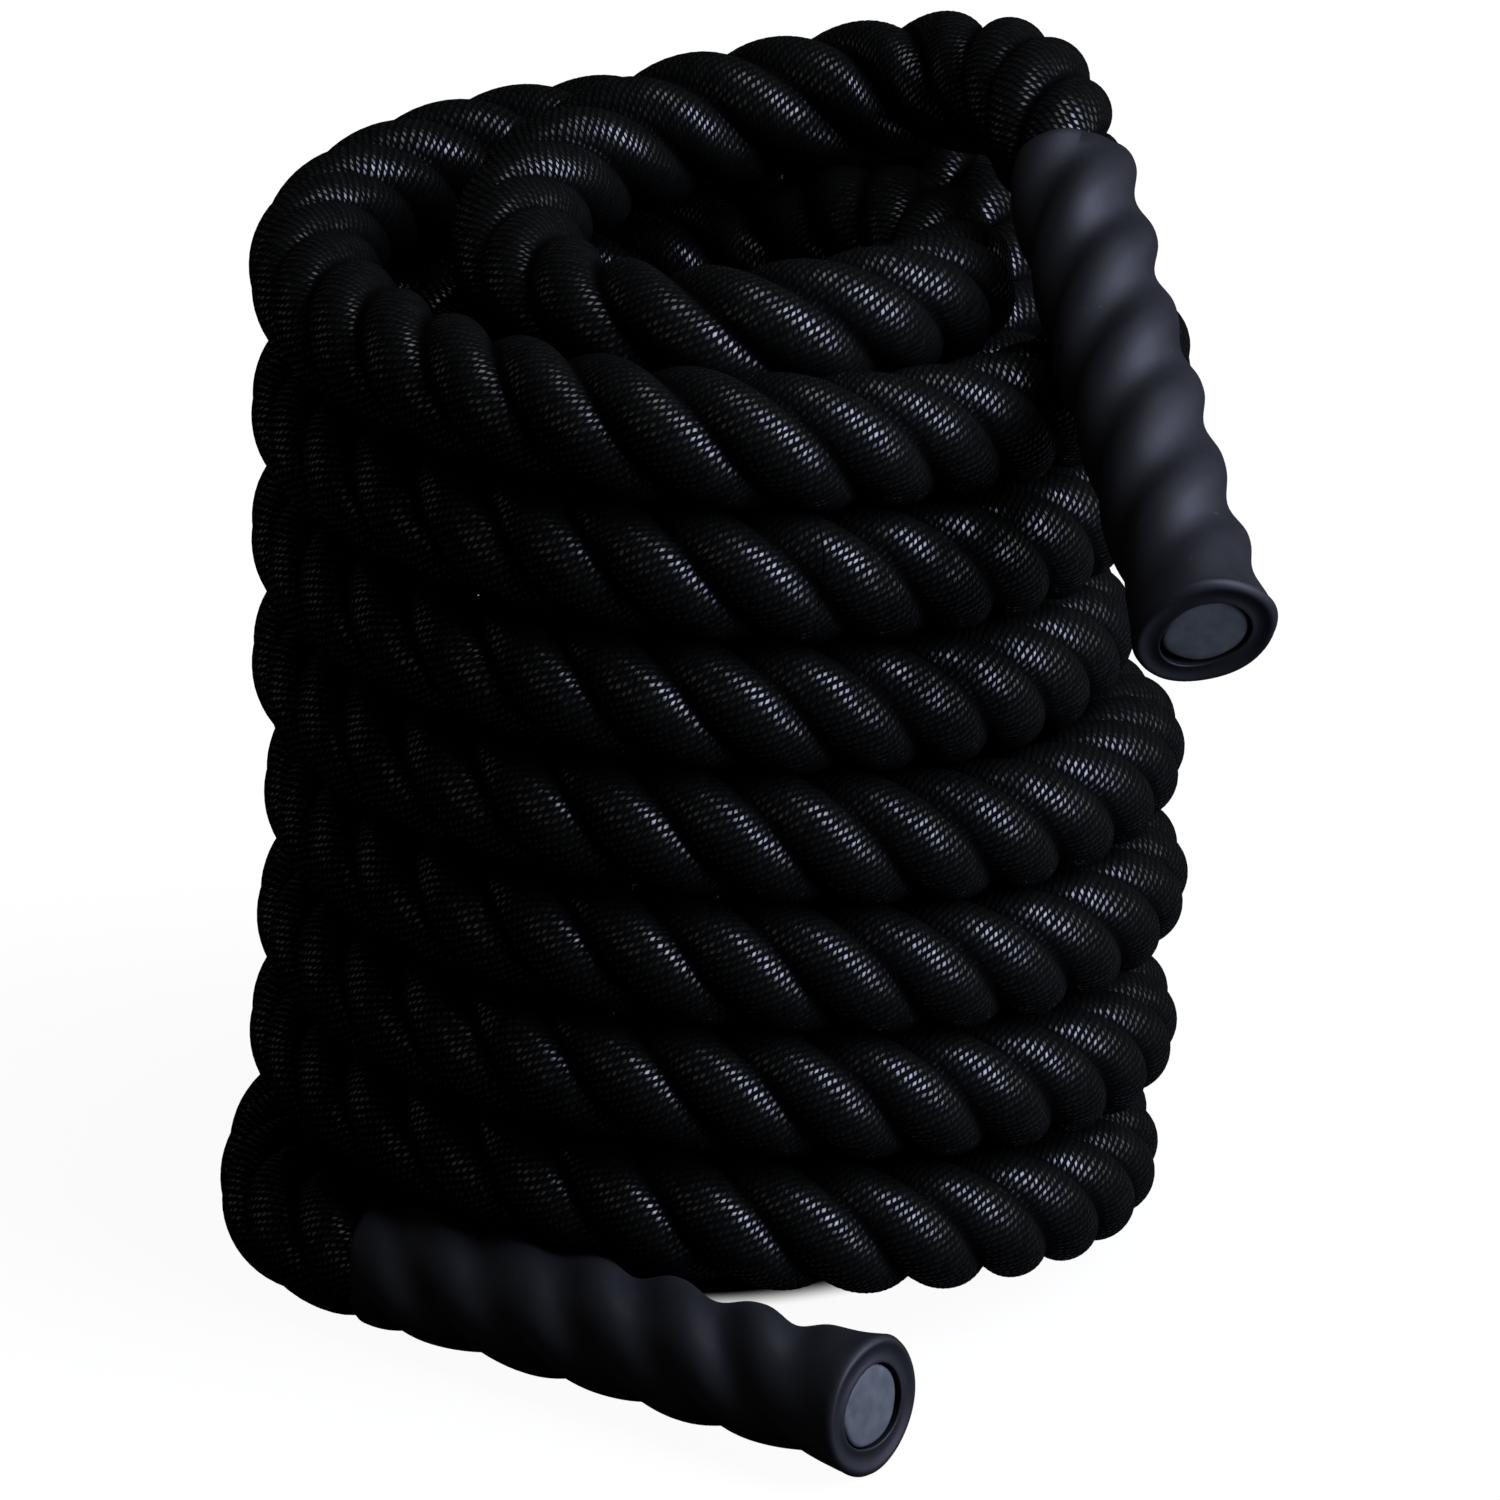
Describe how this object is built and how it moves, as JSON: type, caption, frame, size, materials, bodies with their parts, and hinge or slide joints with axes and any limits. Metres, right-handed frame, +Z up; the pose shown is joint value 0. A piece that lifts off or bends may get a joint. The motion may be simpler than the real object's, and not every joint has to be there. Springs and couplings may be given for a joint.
{
  "type": "battle rope",
  "caption": "Thick three-strand training rope stacked in a coil, with a shrunk rubber sleeve grip on each end; both grips swing clear of the coil.",
  "frame": {"origin": "centre of the bounding box's bottom, on the floor that the coil stands on", "axes": "+Z up along the coil's axis, -Y towards the viewer of the picture, +X to the viewer's right"},
  "size_m": [0.3946, 0.4562, 0.4657],
  "materials": {
    "rope": "woven polyester, satin sheen on the ribs",
    "strand": "woven polyester",
    "sleeve": "satin shrink rubber",
    "seal": "melted fibre, smooth and matte",
    "tape": "matte tape"
  },
  "bodies": {
    "coil_body": {"rope_coil": "rope", "rope_upper_lead": "rope", "rope_lower_tail": "rope"},
    "upper_grip_body": {"upper_grip": "sleeve", "upper_rope_seal": "seal", "upper_strand_1": "strand", "upper_strand_2": "strand", "upper_strand_3": "strand", "upper_whipping": "tape"},
    "lower_grip_body": {"lower_grip": "sleeve", "lower_rope_seal": "seal", "lower_strand_1": "strand", "lower_strand_2": "strand", "lower_strand_3": "strand", "lower_whipping": "tape"}
  },
  "joints": [
    {"name": "upper_grip_swing", "type": "hinge", "parent": "coil_body", "child": "upper_grip_body", "pos_m": [0.11472, 0.07889, 0.44096], "axis": [-0.9745, -0.2246, 0], "range_deg": [0, 75], "deforming": ["rope_upper_lead"]},
    {"name": "lower_grip_swing", "type": "hinge", "parent": "coil_body", "child": "lower_grip_body", "pos_m": [-0.16452, -0.02606, 0.02277], "axis": [0, 0, -1], "range_deg": [0, 45], "deforming": ["rope_lower_tail"]}
  ]
}
